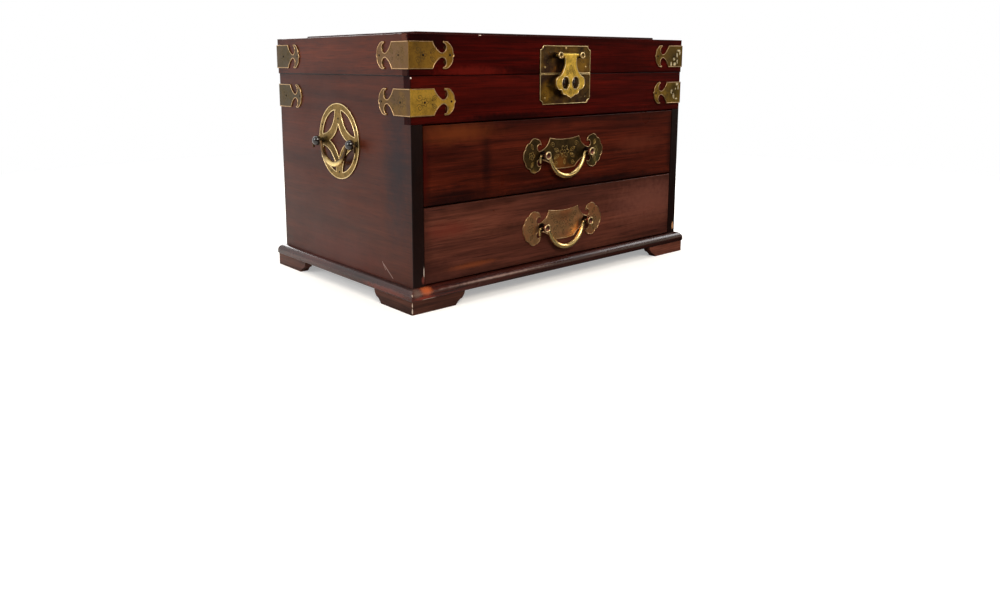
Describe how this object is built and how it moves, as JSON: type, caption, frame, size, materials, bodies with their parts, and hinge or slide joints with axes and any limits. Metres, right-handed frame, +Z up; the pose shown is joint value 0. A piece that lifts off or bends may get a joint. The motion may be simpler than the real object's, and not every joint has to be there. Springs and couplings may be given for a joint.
{
  "type": "jewellery chest",
  "caption": "Hardwood jewellery chest with a hinged lid over a lift-out tray, two drawers and engraved brass fittings",
  "frame": {"origin": "on the floor under the feet, at the centre of the whole chest with its fittings", "axes": "+X along the width to the right as seen from the front, the front looks to -Y, +Z up"},
  "size_m": [0.404, 0.257, 0.2481],
  "materials": {
    "rosewood": "satin lacquer over oiled rosewood",
    "inner_wood": "plain planed",
    "aged_brass": "aged, engraved, worn bright at the rims",
    "bright_brass": "cast and polished by handling",
    "dark_brass": "blackened",
    "silk": "woven",
    "mirror_glass": "silvered"
  },
  "bodies": {
    "case": {"back_board": "rosewood", "base_board": "rosewood", "case_corner_brackets": "aged_brass", "case_hinge_screws": "aged_brass", "case_lock_plate": "aged_brass", "case_nails": "aged_brass", "drawer_divider": "inner_wood", "foot_back_left": "rosewood", "foot_back_right": "rosewood", "foot_front_left": "rosewood", "foot_front_right": "rosewood", "hinge_case_leaves": "aged_brass", "hinge_pins": "bright_brass", "lock_lugs": "dark_brass", "side_board_left": "rosewood", "side_board_right": "rosewood", "side_plate_left": "aged_brass", "side_plate_right": "aged_brass", "side_posts_left": "dark_brass", "side_posts_right": "dark_brass", "till_floor": "inner_wood", "till_front": "rosewood"},
    "lid": {"hasp_pin": "bright_brass", "hasp_posts": "bright_brass", "hinge_lid_leaves": "aged_brass", "lid_back": "rosewood", "lid_corner_brackets": "aged_brass", "lid_front": "rosewood", "lid_hinge_screws": "aged_brass", "lid_left": "rosewood", "lid_lock_plate": "aged_brass", "lid_nails": "aged_brass", "lid_panel": "rosewood", "lid_rails": "rosewood", "lid_right": "rosewood", "mirror": "mirror_glass", "mirror_frame": "rosewood"},
    "hasp": {"hasp": "bright_brass"},
    "upper_drawer": {"upper_drawer_back": "inner_wood", "upper_drawer_bottom": "inner_wood", "upper_drawer_front": "rosewood", "upper_drawer_lining": "silk", "upper_drawer_sides": "inner_wood", "upper_pull_plate": "aged_brass", "upper_pull_posts": "bright_brass"},
    "upper_bail": {"upper_pull_bail": "bright_brass"},
    "lower_drawer": {"lower_drawer_back": "inner_wood", "lower_drawer_bottom": "inner_wood", "lower_drawer_front": "rosewood", "lower_drawer_lining": "silk", "lower_drawer_sides": "inner_wood", "lower_pull_plate": "aged_brass", "lower_pull_posts": "bright_brass"},
    "lower_bail": {"lower_pull_bail": "bright_brass"},
    "left_bail": {"side_bail_left": "bright_brass"},
    "right_bail": {"side_bail_right": "bright_brass"},
    "tray": {"tray_bottom": "inner_wood", "tray_dividers": "rosewood", "tray_linings": "silk", "tray_walls": "rosewood"}
  },
  "joints": [
    {"name": "lid_hinge", "type": "hinge", "parent": "case", "child": "lid", "pos_m": [0, 0.124, 0.2095], "axis": [-1, 0, 0], "range_deg": [0, 100]},
    {"name": "hasp_swing", "type": "hinge", "parent": "lid", "child": "hasp", "pos_m": [0, -0.1242, 0.2274], "axis": [-1, 0, 0], "range_deg": [0, 150]},
    {"name": "upper_drawer_slide", "type": "slide", "parent": "case", "child": "upper_drawer", "axis": [0, -1, 0], "range_m": [0, 0.18]},
    {"name": "upper_bail_swing", "type": "hinge", "parent": "upper_drawer", "child": "upper_bail", "pos_m": [0, -0.1239, 0.13], "axis": [-1, 0, 0], "range_deg": [0, 100]},
    {"name": "lower_drawer_slide", "type": "slide", "parent": "case", "child": "lower_drawer", "axis": [0, -1, 0], "range_m": [0, 0.18]},
    {"name": "lower_bail_swing", "type": "hinge", "parent": "lower_drawer", "child": "lower_bail", "pos_m": [0, -0.1239, 0.057], "axis": [-1, 0, 0], "range_deg": [0, 100]},
    {"name": "left_bail_swing", "type": "hinge", "parent": "case", "child": "left_bail", "pos_m": [-0.197, 0.0013, 0.1442], "axis": [0, 1, 0], "range_deg": [0, 100]},
    {"name": "right_bail_swing", "type": "hinge", "parent": "case", "child": "right_bail", "pos_m": [0.197, 0.0013, 0.1442], "axis": [0, -1, 0], "range_deg": [0, 100]},
    {"name": "tray_lift", "type": "slide", "parent": "case", "child": "tray", "axis": [0, 0, 1], "range_m": [0, 0.02]}
  ]
}
